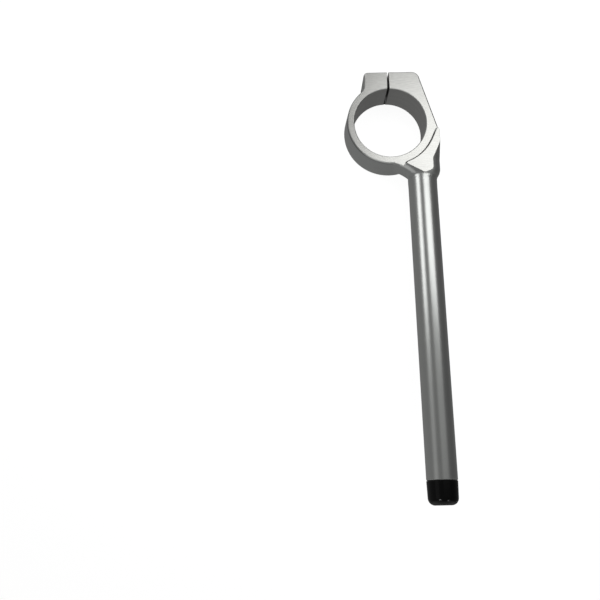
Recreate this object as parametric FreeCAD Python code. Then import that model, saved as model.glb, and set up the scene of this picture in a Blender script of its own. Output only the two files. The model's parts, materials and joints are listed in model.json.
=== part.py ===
import FreeCAD, Part
import math
import os

# Clip-on handlebar for a motorcycle fork: a split clamp ring forged in one piece with its bar.
# Millimetres. +Z is the fork axis, up on the side of the raised pad; the origin is on that axis at
# the clamp's mid-height. The slit and its two ears face +Y, and the bar leaves towards -Y.

# Clamp ring
fork_d = 56.0
clamp_height = 30.0
clamp_wall = 5.6
clamp_swell = 1.0
swell_height = 5.0
foot_draw = 0.6
edge_chamfer = 1.0
bore_chamfer = 0.5

# Ears and slit
slit_width = 1.3
slit_shift = 0.4
slit_edge = 0.25
ear_reach = 42.2
ear_side = 19.6
ear_side_corner = 3.5
ear_root_radius = 6.0
flank_angle = 16.8
flank_land = 0.4
flank_corner = 6.0

# Bar
bar_d = 22.2
bar_root_d = 22.4
bar_root_end = 47.0
bar_root_taper = 4.0
bar_offset = 24.2
bar_height = 2.0
bar_rise = 4.5
bar_reach = 272.6
bar_end_chamfer = 0.5
bar_bore_d = 15.0
bar_bore_depth = 60.0

# Arm: the rounded plate that joins the ring and the bar
arm_thickness = 25.4
arm_shoulder = 9.5
arm_side = 31.0
arm_lean = 29.0
arm_tip_shift = 0.8
arm_corner_x = 4.2
arm_corner_y = 37.0
arm_taper = 0.6
arm_bar_blend = 4.0
web_angle = 93.0
web_radius = 25.0
web_edge = 5.0
knuckle_angle = 50.0
knuckle_corner = 10.0
knuckle_top = 4.6
knuckle_start = 16.5
knuckle_end = 30.2
knuckle_edge = 1.2

# Raised pad and the milled step beside it
pad_height = 2.0
pad_gap = 1.6
pad_left_angle = 70.5
pad_left_exit = 119.0
pad_right_angle = 25.0
pad_tip_radius = 1.3
pad_tip_spare = 0.3
pad_facing = 0.46
step_cove = 1.4

# Pinch bolts: M6 socket-head cap screws across the ears
bolt_d = 6.0
bolt_clearance = 0.6
thread_clearance = 0.04
bolt_spacing = 15.0
bolt_head_d = 10.0
bolt_head_height = 6.0
bolt_head_clearance = 1.0
bolt_socket = 5.0
bolt_socket_depth = 3.0
bolt_head_edge = 0.6
bolt_seat_x = 13.0
bolt_inset = 1.5

# Bar-end plug
plug_head_length = 17.1
plug_draft = 1.4
plug_end_radius = 5.1
plug_rim_chamfer = 0.6
plug_shank_length = 26.0
plug_fin = 3.2
plug_lead = 1.2
plug_clearance = 0.05

# Derived places
V = FreeCAD.Vector
UP = V(0, 0, 1)
bore_r = fork_d / 2
ring_r = bore_r + clamp_wall
bar_r = bar_d / 2
bar_root_r = bar_root_d / 2
top_z = clamp_height / 2
pad_z = top_z + pad_height
step_r = ring_r + pad_gap
rise = math.radians(bar_rise)
bar_way = V(0, -math.cos(rise), math.sin(rise))
bolt_y = (bore_r + ear_reach) / 2
beyond = bar_reach


def at(x, y, z=0.0):
    return V(x, y, z)


def polar(radius, degrees, z=0.0):
    turn = math.radians(degrees)
    return V(radius * math.cos(turn), radius * math.sin(turn), z)


def line(start, end):
    return Part.LineSegment(start, end).toShape()


def arc(start, through, end):
    return Part.Arc(start, through, end).toShape()


def arc_about(centre, radius, start_deg, end_deg):
    """Arc in the XY plane from one polar angle to another, through the angle halfway."""
    middle = (start_deg + end_deg) / 2
    return arc(
        centre + polar(radius, start_deg),
        centre + polar(radius, middle),
        centre + polar(radius, end_deg),
    )


def prism(edges, low, high):
    """Solid of a closed plan outline between two heights."""
    face = Part.Face(Part.Wire(edges))
    face.translate(V(0, 0, low))
    return face.extrude(V(0, 0, high - low))


def meet(point, way, other, other_way):
    """Where two lines in the XY plane cross, each given by a point and a direction."""
    span = other - point
    across = way.x * other_way.y - way.y * other_way.x
    return point + way * ((span.x * other_way.y - span.y * other_way.x) / across)


def rounded_corner(before, corner, after, radius):
    """Tangent points and midpoint of the arc that rounds a plan corner."""
    inward = (before - corner).normalize()
    outward = (after - corner).normalize()
    half = inward.getAngle(outward) / 2
    run = radius / math.tan(half)
    centre = corner + (inward + outward).normalize() * (radius / math.sin(half))
    middle = centre + (corner - centre).normalize() * radius
    return corner + inward * run, middle, corner + outward * run


def bar_point(distance):
    """Point on the bar's axis at a distance from the plane of the fork axis."""
    return V(bar_offset, 0, bar_height) + bar_way * distance


# Straight flank from the wide ear to the arm, set just outside the ring
flank_normal = polar(1, flank_angle)
flank_way = V(flank_normal.y, -flank_normal.x, 0)
flank_reach = ring_r + flank_land


def clamp_section(z, wall_r, inset):
    """Plan outline of ring, ears and knuckle root at one height, drawn in all round by an inset."""
    ring = wall_r - inset
    flank = flank_normal * (flank_reach - inset)
    side = ear_side - inset
    root_r = ear_root_radius + inset
    ear_right = meet(at(0, ear_reach - inset), V(1, 0, 0), flank, flank_way)
    ear_left = at(-side, ear_reach - inset)
    root_x = -side - root_r
    root_y = math.sqrt((ring + root_r) ** 2 - root_x ** 2)
    root = at(root_x, root_y)
    root_deg = math.degrees(math.atan2(root_y, root_x))
    side_foot = at(-side, root_y)
    tangent = polar(ring, -knuckle_angle)
    corner = meet(tangent, polar(1, 90 - knuckle_angle), flank, flank_way)

    right_from, right_mid, right_to = rounded_corner(corner, ear_right, ear_left, flank_corner - inset)
    left_from, left_mid, left_to = rounded_corner(ear_right, ear_left, side_foot, ear_side_corner - inset)
    low_from, low_mid, low_to = rounded_corner(tangent, corner, ear_right, knuckle_corner - inset)
    outline = Part.Wire([
        arc(right_from, right_mid, right_to),
        line(right_to, left_from),
        arc(left_from, left_mid, left_to),
        line(left_to, side_foot),
        arc_about(root, root_r, 0, root_deg - 180),
        arc_about(V(), ring, root_deg, 360 - knuckle_angle),
        line(tangent, low_from),
        arc(low_from, low_mid, low_to),
        line(low_to, right_from),
    ])
    outline.translate(V(0, 0, z))
    return outline


def clamp_blank():
    """Ring, ears and knuckle root before the bore: the ring's wall swells to a line above its foot."""
    foot_r = ring_r - foot_draw
    sections = [
        clamp_section(top_z, ring_r, edge_chamfer),
        clamp_section(top_z - edge_chamfer, ring_r, 0),
        clamp_section(-top_z + swell_height, ring_r + clamp_swell, 0),
        clamp_section(-top_z + edge_chamfer, foot_r, 0),
        clamp_section(-top_z, foot_r, edge_chamfer),
    ]
    return Part.makeLoft(sections, True, True)


def web_centre():
    """Axis of the hollow between the ring and the bar."""
    return polar(ring_r + web_radius, -web_angle)


def arm_right(y):
    """Place of the arm's right side at a distance towards the bar's end."""
    return bar_offset + arm_corner_x + arm_shoulder - math.tan(math.radians(arm_taper)) * (arm_corner_y - y)


def arm_plate(middle_z):
    """Plate with fully rounded edges: its left side leans towards the bar, its end is a blunt V."""
    start = polar(arm_side - arm_shoulder, -90 - arm_lean)
    tip = meet(start, polar(1, -arm_lean), at(bar_offset + arm_tip_shift, 0), V(0, 1, 0))
    corner = at(bar_offset + arm_corner_x, -arm_corner_y)
    top_y = knuckle_top + arm_shoulder
    right_top = at(arm_right(top_y) - arm_shoulder, -top_y)
    half = arm_thickness / 2 - arm_shoulder
    points = [start, tip, corner, right_top, V()]
    outline = [line(points[i - 1], points[i]) for i in range(len(points))]
    core = prism(outline, middle_z - half, middle_z + half)
    return Part.makeSolid(core.makeOffsetShape(arm_shoulder, 1e-4, join=0))


def knuckle_section(y, middle_z, upper_radius):
    """Right half of the arm's section across the bar, with its own upper corner radius."""
    right = arm_right(y)
    low = middle_z - arm_thickness / 2
    high = middle_z + arm_thickness / 2
    left = bar_offset
    slant = math.sqrt(0.5)

    def spot(x, z):
        return V(x, -y, z)

    low_c = spot(right - arm_shoulder, low + arm_shoulder)
    high_c = spot(right - upper_radius, high - upper_radius)
    low_mid = low_c + V(slant, 0, -slant) * arm_shoulder
    high_mid = high_c + V(slant, 0, slant) * upper_radius
    return Part.Wire([
        line(spot(left, low), spot(low_c.x, low)),
        arc(spot(low_c.x, low), low_mid, spot(right, low_c.z)),
        line(spot(right, low_c.z), spot(right, high_c.z)),
        arc(spot(right, high_c.z), high_mid, spot(high_c.x, high)),
        line(spot(high_c.x, high), spot(left, high)),
        line(spot(left, high), spot(left, low)),
    ])


def knuckle(middle_z):
    """Shoulder that sharpens from the arm's full round to the flank's square edge."""
    full = knuckle_section(knuckle_end, middle_z, arm_shoulder)
    square = knuckle_section(knuckle_start, middle_z, knuckle_edge)
    turn = Part.makeLoft([full, square], True, True)
    run = Part.Face(square).extrude(V(0, knuckle_start - knuckle_top, 0))
    return turn.fuse(run)


def bar():
    """Straight bar, a little thicker at its root and chamfered at its end; a half section revolved."""
    side = V(1, 0, 0)
    profile = [
        (0, step_r - arm_shoulder),
        (bar_root_r, step_r - arm_shoulder),
        (bar_root_r, bar_root_end),
        (bar_r, bar_root_end + bar_root_taper),
        (bar_r, bar_reach - bar_end_chamfer),
        (bar_r - bar_end_chamfer, bar_reach),
        (0, bar_reach),
    ]
    points = [bar_point(distance) + side * radius for radius, distance in profile]
    return Part.Face(Part.makePolygon(points + points[:1])).revolve(bar_point(0), bar_way, 360)


def step_cutter():
    """Everything over the milled clamp face: outside it, the raised pad is left standing."""
    left_way = polar(1, -pad_left_exit)
    left_point = polar(step_r, -pad_left_angle)
    pad_side = V(-left_way.y, left_way.x, 0)
    offset_point = left_point + pad_side * pad_tip_radius
    reach_r = step_r + pad_tip_radius
    along = offset_point.dot(left_way)
    spare = reach_r ** 2 - offset_point.dot(offset_point) + along ** 2
    tip_c = offset_point + left_way * (math.sqrt(spare) - along)
    on_line = tip_c - pad_side * pad_tip_radius
    on_ring = tip_c * (step_r / reach_r)
    tip_mid = tip_c + ((on_line + on_ring) * 0.5 - tip_c).normalize() * pad_tip_radius
    ring_deg = math.degrees(math.atan2(on_ring.y, on_ring.x))
    leave = polar(step_r, -pad_right_angle)
    flank_line = flank_normal * (flank_reach + pad_tip_spare)
    finger = meet(leave, polar(1, 90 - pad_right_angle), flank_line, flank_way)
    flank_far = finger + flank_way * beyond
    top_from, top_mid, top_to = rounded_corner(leave, finger, flank_far, pad_tip_radius)
    left_far = on_line + left_way * beyond
    right_corner = at(beyond, beyond)
    left_corner = at(-beyond, beyond)
    outline = [
        line(left_far, on_line),
        arc(on_line, tip_mid, on_ring),
        arc_about(V(), step_r, ring_deg, -pad_right_angle),
        line(leave, top_from),
        arc(top_from, top_mid, top_to),
        line(top_to, flank_far),
        line(flank_far, right_corner),
        line(right_corner, left_corner),
        line(left_corner, left_far),
    ]
    cutter = prism(outline, top_z, top_z + beyond)
    foot = [edge for edge in cutter.Edges if edge_on_step(edge)]
    return cutter.makeFillet(step_cove, foot)


def edge_on_step(edge):
    """True for the cutter's bottom edges that come near the clamp, along the pad's step wall."""
    if abs(edge.BoundBox.ZMax - top_z) > 1e-6:
        return False
    return min(vertex.Point.Length for vertex in edge.Vertexes) < beyond / 2


def outside(degrees, distance):
    """Block outside the upright plane at a distance from the fork axis, facing a polar angle."""
    block = Part.makeBox(beyond, 2 * beyond, 2 * beyond, at(distance, -beyond, -beyond))
    block.rotate(V(), UP, degrees)
    return block


def web_hollow():
    """Upright cylinder that hollows the web's side, tangent to the ring."""
    return Part.makeCylinder(web_radius, 2 * beyond, web_centre() - UP * beyond)


def bore():
    """Fork bore with a chamfer at each mouth."""
    half = [
        at(0, 0, -top_z),
        at(bore_r + bore_chamfer, 0, -top_z),
        at(bore_r, 0, -top_z + bore_chamfer),
        at(bore_r, 0, top_z - bore_chamfer),
        at(bore_r + bore_chamfer, 0, top_z),
        at(bore_r + bore_chamfer, 0, top_z + pad_height),
        at(0, 0, top_z + pad_height),
    ]
    profile = Part.Face(Part.makePolygon(half + half[:1]))
    return profile.revolve(V(), UP, 360)


def slit():
    """Slit through both ears, its edges broken on the clamp's two faces."""
    half = slit_width / 2
    wide = half + slit_edge
    side = [
        at(-wide, 0, -top_z),
        at(wide, 0, -top_z),
        at(half, 0, -top_z + slit_edge),
        at(half, 0, top_z - slit_edge),
        at(wide, 0, top_z),
        at(-wide, 0, top_z),
        at(-half, 0, top_z - slit_edge),
        at(-half, 0, -top_z + slit_edge),
    ]
    cut = Part.Face(Part.makePolygon(side + side[:1])).extrude(V(0, ear_reach, 0))
    cut.translate(V(-slit_shift, 0, 0))
    return cut


def bolt_levels():
    """Heights of the two bolts."""
    return [-bolt_spacing / 2, bolt_spacing / 2]


def bolt_holes():
    """Counterbore and clearance hole in the wide ear, tapped hole through the narrow one."""
    across = V(1, 0, 0)
    tools = []
    for z in bolt_levels():
        seat = at(bolt_seat_x, bolt_y, z)
        clear_r = (bolt_d + bolt_clearance) / 2
        tap_r = bolt_d / 2 + thread_clearance
        tools.append(Part.makeCylinder((bolt_head_d + bolt_head_clearance) / 2, beyond, seat, across))
        tools.append(Part.makeCylinder(clear_r, bolt_seat_x, at(0, bolt_y, z), across))
        tools.append(Part.makeCylinder(tap_r, 2 * ear_side, at(-2 * ear_side, bolt_y, z), across))
    return tools


def facing():
    """Block over the pad's plane, as far out as the bar's root."""
    return Part.makeBox(2 * beyond, 2 * beyond, beyond, at(-beyond, -bar_root_end, pad_z))


def bar_hole():
    """Blind bore in the bar's end, which takes the plug's shank."""
    floor = bar_point(bar_reach - bar_bore_depth)
    return Part.makeCylinder(bar_bore_d / 2, bar_bore_depth, floor, bar_way)


def on_bar_root(edge):
    """True for an edge that lies on the bar's surface near the arm."""
    axis_point = bar_point(0)
    first, last = edge.ParameterRange
    for share in (0.0, 0.25, 0.5, 0.75, 1.0):
        reach = edge.valueAt(first + (last - first) * share) - axis_point
        along = reach.dot(bar_way)
        if abs((reach - bar_way * along).Length - bar_root_r) > 1e-3 or along > bar_root_end - 1e-3:
            return False
    return True


def on_web_foot(edge, middle_z):
    """True for the lower edge of the web's hollowed side."""
    axis_point = web_centre()
    ends = [vertex.Point for vertex in edge.Vertexes]
    reach = [math.hypot(p.x - axis_point.x, p.y - axis_point.y) for p in ends]
    return max(p.z for p in ends) < middle_z and max(reach) < web_radius + 1e-4


def handlebar_body():
    """Clamp, arm and bar as one forging, then its machined faces, bores and slit."""
    middle_z = pad_z + pad_facing - arm_thickness / 2
    sides = [outside(flank_angle, flank_reach), web_hollow()]
    arm = arm_plate(middle_z).fuse([knuckle(middle_z)]).cut(sides).removeSplitter()
    web_low = [edge for edge in arm.Edges if on_web_foot(edge, middle_z)]
    arm = arm.makeFillet(web_edge, web_low)
    arm_and_bar = arm.fuse([bar()]).removeSplitter()
    root_edges = [edge for edge in arm_and_bar.Edges if on_bar_root(edge)]
    forging = arm_and_bar.makeFillet(arm_bar_blend, root_edges).fuse([clamp_blank()])
    machining = [facing(), step_cutter(), bore(), slit(), bar_hole()] + bolt_holes()
    return forging.cut(machining).removeSplitter().Solids[0]


def pinch_bolt(z):
    """Socket-head cap screw seated in the wide ear and threaded through the narrow one."""
    across = V(1, 0, 0)
    seat = at(bolt_seat_x, bolt_y, z)
    tip_x = -ear_side + bolt_inset
    head = Part.makeCylinder(bolt_head_d / 2, bolt_head_height, seat, across)
    face_x = bolt_seat_x + bolt_head_height
    rims = [edge for edge in head.Edges if abs(edge.CenterOfMass.x - face_x) < 1e-6]
    head = head.makeChamfer(bolt_head_edge, rims)
    shank = Part.makeCylinder(bolt_d / 2, bolt_seat_x - tip_x, at(tip_x, bolt_y, z), across)
    tips = [edge for edge in shank.Edges if abs(edge.CenterOfMass.x - tip_x) < 1e-6]
    shank = shank.makeChamfer(bolt_head_edge, tips)
    corner_r = bolt_socket / math.sqrt(3)
    corners = [
        V(face_x, bolt_y, z) + V(0, math.cos(turn), math.sin(turn)) * corner_r
        for turn in (math.radians(60 * i) for i in range(7))
    ]
    socket = Part.Face(Part.makePolygon(corners)).extrude(V(-bolt_socket_depth, 0, 0))
    return head.fuse(shank).cut(socket).removeSplitter()


def plug_head():
    """Drafted head that goes on from the bar, its end well rounded, standing on the XY plane."""
    taper = plug_head_length * math.tan(math.radians(plug_draft))
    half = [
        at(0, 0, 0),
        at(bar_r - plug_rim_chamfer, 0, 0),
        at(bar_r, 0, plug_rim_chamfer),
        at(bar_r - taper, 0, plug_head_length),
        at(0, 0, plug_head_length),
    ]
    turned = Part.Face(Part.makePolygon(half + half[:1])).revolve(V(), UP, 360)
    rims = [edge for edge in turned.Edges if abs(edge.CenterOfMass.z - plug_head_length) < 1e-6]
    return turned.makeFillet(plug_end_radius, rims)


def plug_shank():
    """Cross of two fins that grips the bar's bore, with a chamfered lead-in, below the XY plane."""
    fin_r = bar_bore_d / 2 - plug_clearance
    low = at(0, 0, -plug_shank_length)
    core = Part.makeCylinder(fin_r, plug_shank_length, low)
    lead = [edge for edge in core.Edges if abs(edge.CenterOfMass.z - low.z) < 1e-6]
    core = core.makeChamfer(plug_lead, lead)
    fin = Part.makeBox(2 * fin_r, plug_fin, plug_shank_length, low - V(fin_r, plug_fin / 2, 0))
    turned_fin = fin.copy()
    turned_fin.rotate(V(), UP, 90)
    return core.common(fin.fuse(turned_fin))


def end_plug():
    """Bar-end plug pushed home against the bar's end."""
    plug = plug_head().fuse(plug_shank()).removeSplitter()
    plug.rotate(V(), V(1, 0, 0), 90 - bar_rise)
    plug.translate(bar_point(bar_reach))
    return plug


os.makedirs("parts", exist_ok=True)
handlebar_body().exportStep("parts/handlebar_body.step")
Part.makeCompound([pinch_bolt(z) for z in bolt_levels()]).exportStep("parts/pinch_bolts.step")
end_plug().exportStep("parts/bar_end_plug.step")
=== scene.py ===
import json
import math

import bpy
import numpy as np
from bpy.props import FloatProperty, FloatVectorProperty, IntProperty, PointerProperty
from mathutils import Matrix, Vector


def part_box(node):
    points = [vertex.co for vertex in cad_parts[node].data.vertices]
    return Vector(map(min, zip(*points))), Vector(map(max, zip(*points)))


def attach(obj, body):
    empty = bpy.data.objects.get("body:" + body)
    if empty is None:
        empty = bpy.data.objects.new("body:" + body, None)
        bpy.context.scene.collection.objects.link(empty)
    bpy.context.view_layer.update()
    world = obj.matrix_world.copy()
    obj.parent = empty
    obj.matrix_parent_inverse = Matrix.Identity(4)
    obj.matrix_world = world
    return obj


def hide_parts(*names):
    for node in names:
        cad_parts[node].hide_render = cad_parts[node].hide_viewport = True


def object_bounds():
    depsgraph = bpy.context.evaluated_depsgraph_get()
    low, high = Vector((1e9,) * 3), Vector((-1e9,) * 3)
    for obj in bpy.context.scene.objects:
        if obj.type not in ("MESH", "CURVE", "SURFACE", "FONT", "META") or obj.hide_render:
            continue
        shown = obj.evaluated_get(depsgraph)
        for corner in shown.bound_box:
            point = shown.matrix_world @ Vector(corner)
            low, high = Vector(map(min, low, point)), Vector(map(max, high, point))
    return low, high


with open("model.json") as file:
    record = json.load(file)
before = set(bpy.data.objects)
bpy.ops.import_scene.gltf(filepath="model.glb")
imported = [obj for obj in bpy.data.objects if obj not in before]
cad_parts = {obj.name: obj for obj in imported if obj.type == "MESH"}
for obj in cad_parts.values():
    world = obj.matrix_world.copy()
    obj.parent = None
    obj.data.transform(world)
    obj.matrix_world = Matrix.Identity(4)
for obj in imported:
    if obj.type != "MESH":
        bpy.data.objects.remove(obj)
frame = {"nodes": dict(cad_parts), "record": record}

bl_info = {
    "name": "Clip-on handlebar looks",
    "version": (1, 0, 0),
    "blender": (4, 5, 0),
    "location": "View3D > Sidebar > Handlebar",
    "description": "Finishes, pinch screws and studio for a clip-on handlebar",
    "category": "Object",
}

CAD_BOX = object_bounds()
BODY_LOW, BODY_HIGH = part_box("handlebar_body")
BOLT_LOW, BOLT_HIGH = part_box("pinch_bolts")
MOUNTS = {mount["name"]: mount for mount in frame["record"]["mounts"]}
COLOURS = {entry["slot"]: entry["base_color"] for entry in frame["record"]["materials"]}
BORE_RADIUS = MOUNTS["fork_clamp"]["dims"]["r_mm"] / 1000
SLIT_CENTRE = -0.0004
HEAD_RADIUS = (BOLT_HIGH.y - BOLT_LOW.y) / 2
# Share of the record's plug colour, since the plastic reads as a deeper black in the studio
PLUG_SHADE = 0.1
SHARP_ANGLE = math.radians(32.0)


class BodyFinish(bpy.types.PropertyGroup):
    """Blasted and machined aluminium of the clamp, arm and bar."""

    skin_colour: FloatVectorProperty(
        name="Skin", description="Colour of the blasted surfaces", subtype="COLOR",
        size=3, min=0.0, max=1.0, default=(0.771, 0.788, 0.768))
    milled_colour: FloatVectorProperty(
        name="Milled faces", description="Colour of the faced top, underside and pad", subtype="COLOR",
        size=3, min=0.0, max=1.0, default=(0.927, 0.93, 0.896))
    # Darker than the skin: partly the bored finish, partly painted shade in the bore
    bore_and_shade_colour: FloatVectorProperty(
        name="Bored wall", description="Colour of the fork bore and slit", subtype="COLOR",
        size=3, min=0.0, max=1.0, default=(0.63, 0.63, 0.613))
    skin_roughness: FloatProperty(
        name="Skin roughness", description="Sheen of the blasted surfaces", subtype="FACTOR",
        min=0.0, max=1.0, default=0.28)
    milled_roughness: FloatProperty(
        name="Milled roughness", description="Sheen of the machined faces", subtype="FACTOR",
        min=0.0, max=1.0, default=0.31)
    grain: FloatProperty(
        name="Blast grain", description="Size of the blasted grain", unit="LENGTH",
        min=0.00005, max=0.002, default=0.00035)
    streak: FloatProperty(
        name="Milling streaks", description="Spacing of the fine cutter streaks", unit="LENGTH",
        min=0.0001, max=0.005, default=0.0006)


class PlugFinish(bpy.types.PropertyGroup):
    """Moulded black plastic of the bar-end plug."""

    colour: FloatVectorProperty(
        name="Plastic", description="Colour of the moulded plug", subtype="COLOR",
        size=3, min=0.0, max=1.0, default=[PLUG_SHADE * c for c in COLOURS["plug_plastic"]])
    roughness: FloatProperty(
        name="Roughness", description="Gloss of the moulded skin", subtype="FACTOR",
        min=0.0, max=1.0, default=0.14)
    gloss: FloatProperty(
        name="Gloss", description="Strength of the plastic's reflections", subtype="FACTOR",
        min=0.0, max=1.0, default=0.28)
    ripple: FloatProperty(
        name="Ripple", description="Size of the soft ripple that moulding leaves", unit="LENGTH",
        min=0.0002, max=0.02, default=0.004)


class ScrewSizes(bpy.types.PropertyGroup):
    """Socket-head pinch screws that stand in the clamp's ears."""

    thread_diameter: FloatProperty(
        name="Thread", description="Outside diameter of the thread", unit="LENGTH",
        min=0.002, max=0.02, default=0.006)
    pitch: FloatProperty(
        name="Pitch", description="Distance from one thread crest to the next", unit="LENGTH",
        min=0.0004, max=0.003, default=0.001)
    thread_depth: FloatProperty(
        name="Thread depth", description="Depth of the thread groove", unit="LENGTH",
        min=0.0001, max=0.002, default=0.00055)
    plain_shank: FloatProperty(
        name="Plain shank", description="Length under the head that has no thread", unit="LENGTH",
        min=0.0, max=0.05, default=0.009)
    head_height: FloatProperty(
        name="Head height", description="Height of the cap head", unit="LENGTH",
        min=0.002, max=0.02, default=0.006)
    socket_width: FloatProperty(
        name="Socket", description="Width across the flats of the hexagon socket", unit="LENGTH",
        min=0.001, max=0.015, default=0.005)
    socket_depth: FloatProperty(
        name="Socket depth", description="Depth of the hexagon socket", unit="LENGTH",
        min=0.001, max=0.015, default=0.003)
    edge: FloatProperty(
        name="Edge", description="Chamfer on the head and the tip", unit="LENGTH",
        min=0.0001, max=0.002, default=0.0006)
    knurl_count: IntProperty(
        name="Knurls", description="Number of grooves round the head", min=12, max=60, default=30)
    knurl_depth: FloatProperty(
        name="Knurl depth", description="Depth of the grooves round the head", unit="LENGTH",
        min=0.0, max=0.0005, default=0.00015)
    colour: FloatVectorProperty(
        name="Steel", description="Colour of the screws", subtype="COLOR",
        size=3, min=0.0, max=1.0, default=COLOURS["bolt_steel"])


class StudioSettings(bpy.types.PropertyGroup):
    """Floor, lights and camera."""

    floor_colour: FloatVectorProperty(
        name="Floor", description="Colour of the floor", subtype="COLOR",
        size=3, min=0.0, max=1.0, default=(0.4, 0.4, 0.4))
    floor_glow: FloatProperty(
        name="Floor glow", description="Light that the floor gives off, which softens shadows",
        min=0.0, max=2.0, default=0.9)
    floor_size: FloatProperty(
        name="Floor size", description="Side of the square floor", unit="LENGTH",
        min=1.0, max=40.0, default=12.0)
    ambient: FloatProperty(
        name="Ambient", description="Strength of the dim light all round", min=0.0, max=3.0, default=0.128)
    ambient_left: FloatProperty(
        name="From the left", description="How much stronger the dim light is from the left",
        min=0.0, max=1.0, default=0.04)
    ambient_below: FloatProperty(
        name="From below", description="How much stronger the dim light is from below",
        min=0.0, max=1.0, default=0.05)
    fill: FloatProperty(
        name="Front and back fill", description="Strength of the low light from the front and the back",
        min=0.0, max=2.0, default=0.3)
    backdrop: FloatProperty(
        name="Backdrop", description="Brightness of the pale backdrop that the camera sees",
        min=0.0, max=2.0, default=0.95)
    key_power: FloatProperty(
        name="Key light", description="Power of the overhead softbox", unit="POWER",
        min=0.0, max=500.0, default=0.37)
    side_power: FloatProperty(
        name="Side light", description="Power of the softbox on the left", unit="POWER",
        min=0.0, max=500.0, default=0.25)
    spill: FloatProperty(
        name="Spill", description="Brightness of each softbox's spill towards the bar's end",
        subtype="FACTOR", min=0.0, max=1.0, default=0.1)
    front_power: FloatProperty(
        name="Front lamps", unit="POWER",
        description="Power of the right-hand lamp at the bar's end; the left one has twice it",
        min=0.0, max=500.0, default=0.0026)
    lens: FloatProperty(
        name="Lens", description="Focal length in millimetres on a 36 mm sensor",
        min=10.0, max=300.0, default=46.5)


def new_node(tree, kind, **settings):
    """Adds a node and sets the properties that are given by name."""
    node = tree.nodes.new(kind)
    for name, value in settings.items():
        setattr(node, name, value)
    return node


def feed(tree, socket, source):
    """Joins a socket to another node's output, or sets its value."""
    if isinstance(source, bpy.types.NodeSocket):
        tree.links.new(source, socket)
    else:
        socket.default_value = source


def calc(tree, operation, first, second=0.0, third=0.0):
    """Math node with up to three inputs; returns its output."""
    node = new_node(tree, "ShaderNodeMath", operation=operation)
    for socket, source in zip(node.inputs, (first, second, third)):
        feed(tree, socket, source)
    return node.outputs[0]


def blend_colour(tree, share, first, second):
    """Colour mix from the first to the second by a share; returns its output."""
    node = new_node(tree, "ShaderNodeMix", data_type="RGBA")
    feed(tree, node.inputs[0], share)
    for socket, source in zip((node.inputs[6], node.inputs[7]), (first, second)):
        feed(tree, socket, source)
    return node.outputs[2]


def span(tree, value, low, high):
    """Maps a value from 0..1 to low..high; returns its output."""
    node = new_node(tree, "ShaderNodeMapRange")
    feed(tree, node.inputs[0], value)
    node.inputs[3].default_value = low
    node.inputs[4].default_value = high
    return node.outputs[0]


def ramp(tree, value, start, end):
    """Rises from 0 to 1 as a value goes from start to end; returns its output."""
    node = new_node(tree, "ShaderNodeMapRange", interpolation_type="SMOOTHSTEP")
    feed(tree, node.inputs[0], value)
    node.inputs[1].default_value = start
    node.inputs[2].default_value = end
    return node.outputs[0]


def noise(tree, vector, size, detail=2.0, stretch=(1.0, 1.0, 1.0), turn=0.0):
    """Noise whose grains have a size in metres, drawn out along the axes by stretch; returns 0..1."""
    mapping = new_node(tree, "ShaderNodeMapping")
    feed(tree, mapping.inputs["Vector"], vector)
    mapping.inputs["Rotation"].default_value = (0.0, 0.0, turn)
    mapping.inputs["Scale"].default_value = [1.0 / (size * s) for s in stretch]
    node = new_node(tree, "ShaderNodeTexNoise")
    feed(tree, node.inputs["Vector"], mapping.outputs[0])
    node.inputs["Scale"].default_value = 1.0
    node.inputs["Detail"].default_value = detail
    return node.outputs[0]


def bump(tree, height, strength, distance):
    """Bump of a height map; returns the bent normal."""
    node = new_node(tree, "ShaderNodeBump")
    node.inputs["Strength"].default_value = strength
    node.inputs["Distance"].default_value = distance
    feed(tree, node.inputs["Height"], height)
    return node.outputs[0]


def new_material(name):
    """Empty node material; returns it with its tree, shader and Object coordinates."""
    material = bpy.data.materials.new(name)
    material.use_nodes = True
    tree = material.node_tree
    coordinates = new_node(tree, "ShaderNodeTexCoord").outputs["Object"]
    return material, tree, tree.nodes["Principled BSDF"], coordinates


def rgba(colour, share=1.0):
    """Colour times a share, with full alpha."""
    return (*(share * c for c in colour), 1.0)


def both(tree, first, second):
    """Mask that is set where both of two masks are."""
    return calc(tree, "MULTIPLY", first, second)


def either(tree, first, second):
    """Mask that is set where at least one of two masks is."""
    return calc(tree, "MAXIMUM", first, second)


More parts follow.
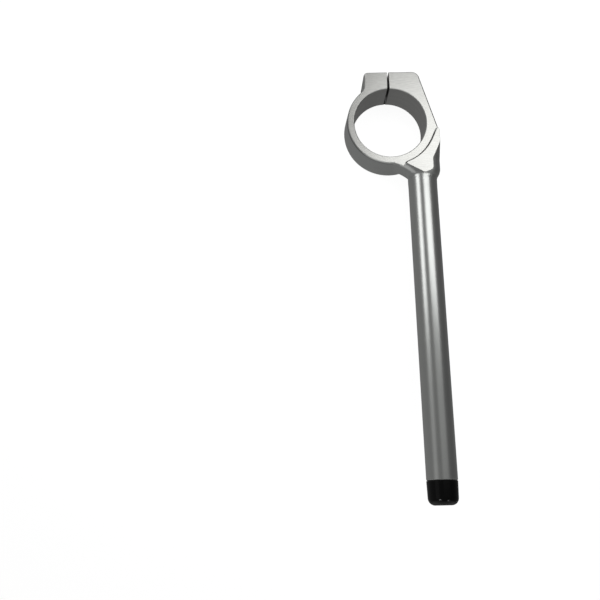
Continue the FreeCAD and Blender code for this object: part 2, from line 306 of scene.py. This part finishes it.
def satin_aluminium(finish):
    """Blasted skin, with milled streaks on the flat faces and turned rings in the bore.

    Masks worked out from the place on the part choose the finish: the milled levels and the pad, and the
    bore.
    Painted shade darkens the slit and a strip on each side of it, which widens towards the bore, the step
    beside the pad, and a line under the ring's top edge.
    """
    material, tree, shader, place = new_material("satin_aluminium")
    split = new_node(tree, "ShaderNodeSeparateXYZ")
    feed(tree, split.inputs[0], place)
    x, y, z = split.outputs
    slack = 2e-5
    half_height = -BODY_LOW.z
    pad_height = 0.002
    pad_z = half_height + pad_height
    bar_side = -0.0475
    slit_half = 0.00067
    # Painted shade: the slit's dark strip is this much wider on each side at the bore than at the ears'
    # ends
    slit_shade_spread = 0.0004
    ring_edge = 0.0006
    step_radius = 0.0354

    level = calc(tree, "COMPARE", calc(tree, "ABSOLUTE", z), half_height, slack)
    pad = calc(tree, "COMPARE", z, pad_z, slack)
    milled = both(tree, either(tree, level, pad), calc(tree, "GREATER_THAN", y, bar_side))
    square = calc(tree, "ADD", calc(tree, "MULTIPLY", x, x), calc(tree, "MULTIPLY", y, y))
    across = calc(tree, "SQRT", square)
    in_bore = calc(tree, "LESS_THAN", across, BORE_RADIUS + slack)
    inward = calc(tree, "SUBTRACT", 1.0, ramp(tree, y, BORE_RADIUS, BODY_HIGH.y))
    reach = calc(tree, "MULTIPLY_ADD", inward, slit_shade_spread, slit_half)
    # Painted shade: the slit mask reaches past the slit's walls onto the bore wall and the ears' top faces
    beside = calc(tree, "COMPARE", x, SLIT_CENTRE, reach)
    slit_and_painted_shade = both(tree, beside, calc(tree, "GREATER_THAN", y, BORE_RADIUS - slit_shade_spread))
    # Painted shade: the step between the ring's top face and the pad
    between = calc(tree, "COMPARE", z, half_height + pad_height / 2, pad_height / 2 - slack)
    on_ring = calc(tree, "LESS_THAN", across, step_radius)
    step_painted_shade = both(tree, between, on_ring)
    # Painted shade: a band just under the ring's top edge, darkened in place of its reflection
    under_top = calc(tree, "COMPARE", z, half_height - 2 * ring_edge, ring_edge)
    on_edge = both(tree, under_top, on_ring)
    bored = either(tree, in_bore, slit_and_painted_shade)
    cut = either(tree, either(tree, milled, bored), step_painted_shade)

    cloud_size = 0.012
    ring_spacing = 0.0007
    cutter_turn = math.radians(8.0)
    grain = noise(tree, place, finish.grain, detail=3.0)
    cloud = noise(tree, place, cloud_size, detail=3.0)
    streaks = noise(tree, place, finish.streak, detail=3.0, stretch=(8.0, 1.0, 8.0), turn=cutter_turn)
    rings = noise(tree, place, ring_spacing, stretch=(60.0, 60.0, 1.0))

    skin = blend_colour(tree, cloud, rgba(finish.skin_colour, 0.91), rgba(finish.skin_colour))
    faced = blend_colour(tree, streaks, rgba(finish.milled_colour, 0.66), rgba(finish.milled_colour))
    # The bore's colour is partly its turned finish, partly painted shade in the recess
    turned = blend_colour(tree, rings, rgba(finish.bore_and_shade_colour, 0.7), rgba(finish.bore_and_shade_colour))
    # Painted shade for the step and the slit: a dark share of the bore colour
    shaded = rgba(finish.bore_and_shade_colour, 0.27)
    ring_edge_shade = rgba(finish.skin_colour, 0.5)
    colour = blend_colour(tree, milled, skin, faced)
    # Painted shade: the band under the ring's top edge takes half the skin colour
    colour = blend_colour(tree, on_edge, colour, ring_edge_shade)
    colour = blend_colour(tree, bored, colour, turned)
    # Painted shade: the step and the slit take the dark colour
    colour = blend_colour(tree, either(tree, step_painted_shade, slit_and_painted_shade), colour, shaded)
    feed(tree, shader.inputs["Base Color"], colour)
    shader.inputs["Metallic"].default_value = 1.0

    skin_rough = span(tree, grain, finish.skin_roughness - 0.02, finish.skin_roughness + 0.03)
    milled_rough = span(tree, streaks, finish.milled_roughness - 0.03, finish.milled_roughness + 0.03)
    rough = new_node(tree, "ShaderNodeMix", data_type="FLOAT")
    feed(tree, rough.inputs[0], cut)
    feed(tree, rough.inputs[2], skin_rough)
    feed(tree, rough.inputs[3], milled_rough)
    feed(tree, shader.inputs["Roughness"], rough.outputs[0])

    relief_depth = 0.00004
    relief = calc(tree, "MULTIPLY", grain, calc(tree, "SUBTRACT", 1.0, cut))
    relief = calc(tree, "ADD", relief, calc(tree, "MULTIPLY", streaks, milled))
    relief = calc(tree, "ADD", relief, calc(tree, "MULTIPLY", rings, bored))
    feed(tree, shader.inputs["Normal"], bump(tree, relief, strength=0.12, distance=relief_depth))
    return material


def gloss_plastic(finish):
    """Moulded black plastic with a soft ripple and fine rubbed marks."""
    material, tree, shader, place = new_material("gloss_black_plastic")
    rub_size = 0.0006
    ripple_depth = 0.0002
    ripple = noise(tree, place, finish.ripple)
    rubbed = noise(tree, place, rub_size, detail=4.0)
    colour = blend_colour(tree, ripple, rgba(finish.colour, 0.7), rgba(finish.colour))
    feed(tree, shader.inputs["Base Color"], colour)
    rough = span(tree, rubbed, finish.roughness - 0.05, finish.roughness + 0.08)
    feed(tree, shader.inputs["Roughness"], rough)
    shader.inputs["Specular IOR Level"].default_value = finish.gloss
    feed(tree, shader.inputs["Normal"], bump(tree, ripple, strength=0.08, distance=ripple_depth))
    return material


def screw_steel(sizes):
    """Plain stainless steel with a fine turned grain round each screw's axis."""
    material, tree, shader, place = new_material("screw_steel")
    turning_size = 0.0003
    turning_depth = 0.00003
    cloud_size = 0.003
    turned = noise(tree, place, turning_size, stretch=(1.0, 20.0, 20.0))
    cloud = noise(tree, place, cloud_size, detail=3.0)
    colour = blend_colour(tree, cloud, rgba(sizes.colour, 0.8), rgba(sizes.colour))
    feed(tree, shader.inputs["Base Color"], colour)
    shader.inputs["Metallic"].default_value = 1.0
    feed(tree, shader.inputs["Roughness"], span(tree, turned, 0.24, 0.38))
    feed(tree, shader.inputs["Normal"], bump(tree, turned, strength=0.1, distance=turning_depth))
    return material


def pale_floor(studio):
    """Plain pale floor whose even glow keeps shadows faint.

    The glow stops under the ears, a painted shadow that keeps the slit dark.
    """
    material, tree, shader, place = new_material("pale_floor")
    cloud_size = 0.4
    cloud = noise(tree, place, cloud_size)
    colour = blend_colour(tree, cloud, rgba(studio.floor_colour, 0.985), rgba(studio.floor_colour))
    feed(tree, shader.inputs["Base Color"], colour)
    shader.inputs["Roughness"].default_value = 0.7
    shader.inputs["Specular IOR Level"].default_value = 0.2
    split = new_node(tree, "ShaderNodeSeparateXYZ")
    feed(tree, split.inputs[0], place)
    half_width = 0.008
    half_length = (BODY_HIGH.y - BORE_RADIUS) / 2
    inset = 0.0005
    # Painted shadow: the floor gives no glow in a strip under the ears
    beside = calc(tree, "COMPARE", split.outputs["X"], SLIT_CENTRE, half_width)
    along = calc(tree, "COMPARE", split.outputs["Y"], BORE_RADIUS + half_length, half_length - inset)
    outside_painted_shadow = calc(tree, "SUBTRACT", 1.0, both(tree, beside, along))
    shader.inputs["Emission Color"].default_value = (1.0, 1.0, 1.0, 1.0)
    feed(tree, shader.inputs["Emission Strength"], calc(tree, "MULTIPLY", outside_painted_shadow, studio.floor_glow))
    return material


def grid_faces(rows, columns):
    """Quads of a grid that closes on itself along its columns, as an array of vertex numbers."""
    row, column = np.meshgrid(np.arange(rows - 1), np.arange(columns), indexing="ij")
    after = (column + 1) % columns
    here = row * columns
    above = here + columns
    corners = (here + column, here + after, above + after, above + column)
    return np.stack(corners, axis=-1).reshape(-1, 4)


def mesh_object(name, points, faces, material):
    """Object at the origin whose mesh holds the points and faces, smooth with sharp edges kept."""
    mesh = bpy.data.meshes.new(name)
    mesh.from_pydata(points, [], faces)
    mesh.validate()
    mesh.materials.append(material)
    mesh.polygons.foreach_set("use_smooth", np.ones(len(mesh.polygons), bool))
    mesh.set_sharp_from_angle(angle=SHARP_ANGLE)
    piece = bpy.data.objects.new(name, mesh)
    bpy.context.scene.collection.objects.link(piece)
    return piece


def screw_surface(sizes, y, z):
    """Closed surface of one screw, a radius carried round the axis as a function of place and angle.

    Along the profile the place runs from the socket's floor over the head to the tip. The socket's radius
    is a hexagon, apothem / cos(angle folded into one sixth of a turn). The head's radius falls by the
    knurl's depth times |sin(count * angle / 2)|. The thread's radius falls by its depth times a triangle
    wave of (place / pitch - angle / full turn), faded in and out over one pitch.
    """
    columns = 4 * sizes.knurl_count
    angle = np.arange(columns) * (2 * math.pi / columns)
    sixth = math.pi / 3
    hexagon = sizes.socket_width / 2 / np.cos((angle + sixth / 2) % sixth - sixth / 2)
    face = BOLT_HIGH.x
    tip = BOLT_LOW.x
    seat = face - sizes.head_height
    head = HEAD_RADIUS - sizes.knurl_depth * np.abs(np.sin(sizes.knurl_count * angle / 2))
    shank = sizes.thread_diameter / 2
    even = np.ones(columns)
    centre = even * 1e-5

    # Depth of the drill point, lead-in of the socket, and small breaks under the head
    cone = 0.0008
    lead = 0.0003
    step = 0.0002
    rim = HEAD_RADIUS - sizes.edge
    floor = face - sizes.socket_depth
    places = [floor - cone, floor, face - lead, face]
    radii = [centre, hexagon * 0.94, hexagon, hexagon * 1.06]
    places += [face, face - sizes.edge * 0.4, face - sizes.edge]
    radii += [even * rim, even * (HEAD_RADIUS - sizes.edge * 0.3), head]
    places += [seat + 3 * step, seat + step, seat, seat, seat - step]
    radii += [head, even * (HEAD_RADIUS - step), even * (HEAD_RADIUS - 2.5 * step)]
    radii += [even * shank * 1.04, even * shank]

    start = seat - sizes.plain_shank
    rows_per_pitch = 8
    rows = int(round((start - tip - sizes.edge) / sizes.pitch * rows_per_pitch))
    run = np.linspace(start, tip + sizes.edge, rows)
    turns = (run[:, None] / sizes.pitch - angle[None, :] / (2 * math.pi)) % 1.0
    wave = 1.0 - np.abs(2.0 * turns - 1.0)
    fade = np.clip(np.minimum(start - run, run - tip) / sizes.pitch, 0.0, 1.0)
    thread = shank - sizes.thread_depth * wave * fade[:, None]

    places = np.concatenate([places, run, [tip, tip]])
    radii = np.vstack([radii, thread, even * (shank - sizes.edge), centre])
    points = np.empty(radii.shape + (3,))
    points[..., 0] = places[:, None]
    points[..., 1] = y + radii * np.cos(angle)
    points[..., 2] = z + radii * np.sin(angle)
    faces = grid_faces(len(places), columns)
    last = (len(places) - 1) * columns
    caps = [np.arange(columns)[::-1].tolist(), (last + np.arange(columns)).tolist()]
    return points.reshape(-1, 3), faces.tolist() + caps


class HANDLEBAR_OT_finish_body(bpy.types.Operator):
    """Gives the forged body its blasted and machined aluminium"""

    bl_idname = "handlebar.finish_body"
    bl_label = "Finish body"

    def execute(self, context):
        node = frame["nodes"]["handlebar_body"]
        node.data.materials.clear()
        node.data.materials.append(satin_aluminium(context.scene.handlebar_body))
        return {"FINISHED"}


class HANDLEBAR_OT_finish_plug(bpy.types.Operator):
    """Gives the bar-end plug its gloss black plastic"""

    bl_idname = "handlebar.finish_plug"
    bl_label = "Finish plug"

    def execute(self, context):
        node = frame["nodes"]["bar_end_plug"]
        node.data.materials.clear()
        node.data.materials.append(gloss_plastic(context.scene.handlebar_plug))
        return {"FINISHED"}


class HANDLEBAR_OT_build_screws(bpy.types.Operator):
    """Builds the two threaded pinch screws where the plain bolts stand"""

    bl_idname = "handlebar.build_screws"
    bl_label = "Build pinch screws"

    def execute(self, context):
        sizes = context.scene.handlebar_screws
        steel = screw_steel(sizes)
        y = (BOLT_LOW.y + BOLT_HIGH.y) / 2
        levels = {"lower": BOLT_LOW.z + HEAD_RADIUS, "upper": BOLT_HIGH.z - HEAD_RADIUS}
        for word, z in levels.items():
            points, faces = screw_surface(sizes, y, z)
            screw = mesh_object("pinch_screw_" + word, points, faces, steel)
            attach(screw, "root")
            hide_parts("pinch_bolts")
        return {"FINISHED"}


def dim_studio(studio):
    """Dim light all round with a pale backdrop for the camera.

    The light is a little stronger from the left and from below, and a low fill comes from front and back.
    """
    world = bpy.data.worlds.new("studio_light")
    world.use_nodes = True
    tree = world.node_tree
    split = new_node(tree, "ShaderNodeSeparateXYZ")
    feed(tree, split.inputs[0], new_node(tree, "ShaderNodeTexCoord").outputs["Generated"])
    x, y, z = split.outputs
    end_fade = (0.5, 0.75)
    height_fade = (0.45, 0.7)
    left = calc(tree, "MULTIPLY", x, -studio.ambient_left)
    below = calc(tree, "MAXIMUM", calc(tree, "MULTIPLY", z, -studio.ambient_below), 0.0)
    ends = ramp(tree, calc(tree, "ABSOLUTE", y), *end_fade)
    low = calc(tree, "SUBTRACT", 1.0, ramp(tree, calc(tree, "ABSOLUTE", z), *height_fade))
    fill = calc(tree, "MULTIPLY", both(tree, ends, low), studio.fill)
    uneven = calc(tree, "ADD", left, below)
    dim = calc(tree, "ADD", uneven, calc(tree, "ADD", fill, studio.ambient))
    rays = new_node(tree, "ShaderNodeLightPath")
    shade = new_node(tree, "ShaderNodeMix", data_type="FLOAT")
    feed(tree, shade.inputs[0], rays.outputs["Is Camera Ray"])
    feed(tree, shade.inputs[2], dim)
    feed(tree, shade.inputs[3], studio.backdrop)
    background = tree.nodes["Background"]
    background.inputs["Color"].default_value = (1.0, 1.0, 1.0, 1.0)
    feed(tree, background.inputs["Strength"], shade.outputs[0])
    return world


def softbox(name, power, target, size, direction, distance):
    """Area light that looks at a point from a direction, with its width level and across the bar."""
    data = bpy.data.lights.new(name, "AREA")
    data.shape = "RECTANGLE"
    data.size, data.size_y = size
    data.energy = power
    lamp = bpy.data.objects.new(name, data)
    back = Vector(direction).normalized()
    wide = (Vector((1.0, 0.0, 0.0)) - back * back.x).normalized()
    place = Matrix((wide, back.cross(wide), back)).transposed().to_4x4()
    place.translation = Vector(target) + back * distance
    lamp.matrix_world = place
    lamp.visible_camera = False
    bpy.context.scene.collection.objects.link(lamp)


def photo_camera(lens):
    """Camera solved from the bore's rims and the bar's edges, with the photo's own framing."""
    right = Vector((0.999795168, -0.0202390575, 0.0000558056))
    down = Vector((-0.0198945205, -0.983274470, -0.181040119))
    forward = Vector((0.00371895364, 0.181001926, -0.983475710))
    place = Matrix((right, -down, -forward)).transposed().to_4x4()
    place.translation = (-0.07529617, -0.24364721, 0.58275949)
    data = bpy.data.cameras.new("photo_camera")
    data.sensor_width = 36.0
    data.lens = lens
    data.clip_start = 0.01
    camera = bpy.data.objects.new("photo_camera", data)
    camera.matrix_world = place
    bpy.context.scene.collection.objects.link(camera)
    return camera


class HANDLEBAR_OT_build_stage(bpy.types.Operator):
    """Builds the floor, the lights and the camera"""

    bl_idname = "handlebar.build_stage"
    bl_label = "Build stage"

    def execute(self, context):
        studio = context.scene.handlebar_studio
        half = studio.floor_size / 2
        low = CAD_BOX[0].z
        corners = np.array([(-half, -half, low), (half, -half, low), (half, half, low), (-half, half, low)])
        floor = mesh_object("floor", corners, [(0, 1, 2, 3)], pale_floor(studio))
        floor.visible_glossy = False
        context.scene.world = dim_studio(studio)

        key = {"size": (0.356, 0.24), "direction": (0.0, 0.0, 1.0), "distance": 0.35}
        key_aim = (0.192, 0.1, 0.01)
        key_spill_aim = (0.192, -0.14, 0.01)
        softbox("key_softbox", studio.key_power, key_aim, **key)
        softbox("key_spill", studio.key_power * studio.spill, key_spill_aim, **key)

        side = {"size": (0.19, 0.31), "direction": (-0.743, 0.0, 0.669), "distance": 0.4}
        side_aim = (0.024, 0.115, 0.01)
        side_spill_aim = (0.024, -0.195, 0.01)
        softbox("side_softbox", studio.side_power, side_aim, **side)
        softbox("side_spill", studio.side_power * studio.spill, side_spill_aim, **side)

        front = {"size": (0.0072, 0.0072), "distance": 0.06}
        bar_end = (0.024, CAD_BOX[0].y, CAD_BOX[1].z)
        left_way = (-0.574, -0.332, 0.748)
        right_way = (0.487, -0.556, 0.674)
        softbox("front_lamp_left", 2 * studio.front_power, bar_end, direction=left_way, **front)
        softbox("front_lamp_right", studio.front_power, bar_end, direction=right_way, **front)

        context.scene.camera = photo_camera(studio.lens)
        context.scene.view_settings.view_transform = "Standard"
        return {"FINISHED"}


GROUPS = {
    "handlebar_body": BodyFinish,
    "handlebar_plug": PlugFinish,
    "handlebar_screws": ScrewSizes,
    "handlebar_studio": StudioSettings,
}
OPERATORS = (
    HANDLEBAR_OT_finish_body,
    HANDLEBAR_OT_finish_plug,
    HANDLEBAR_OT_build_screws,
    HANDLEBAR_OT_build_stage,
)


class HANDLEBAR_PT_panel(bpy.types.Panel):
    """Sizes, finishes and steps of the handlebar"""

    bl_idname = "HANDLEBAR_PT_panel"
    bl_label = "Clip-on handlebar"
    bl_space_type = "VIEW_3D"
    bl_region_type = "UI"
    bl_category = "Handlebar"

    def draw(self, context):
        for (name, group), operator in zip(GROUPS.items(), OPERATORS):
            box = self.layout.box()
            settings = getattr(context.scene, name)
            for field in group.__annotations__:
                box.prop(settings, field)
            box.operator(operator.bl_idname)


def register():
    """Adds the settings, operators and panel."""
    for name, group in GROUPS.items():
        bpy.utils.register_class(group)
        setattr(bpy.types.Scene, name, PointerProperty(type=group))
    for entry in (*OPERATORS, HANDLEBAR_PT_panel):
        bpy.utils.register_class(entry)


def unregister():
    """Takes the panel, operators and settings away again."""
    for entry in (HANDLEBAR_PT_panel, *reversed(OPERATORS)):
        bpy.utils.unregister_class(entry)
    for name, group in reversed(GROUPS.items()):
        delattr(bpy.types.Scene, name)
        bpy.utils.unregister_class(group)


def main():
    """Builds the whole scene in order."""
    register()
    bpy.ops.handlebar.finish_body()
    bpy.ops.handlebar.finish_plug()
    bpy.ops.handlebar.build_screws()
    bpy.ops.handlebar.build_stage()


if __name__ == "__main__":
    main()
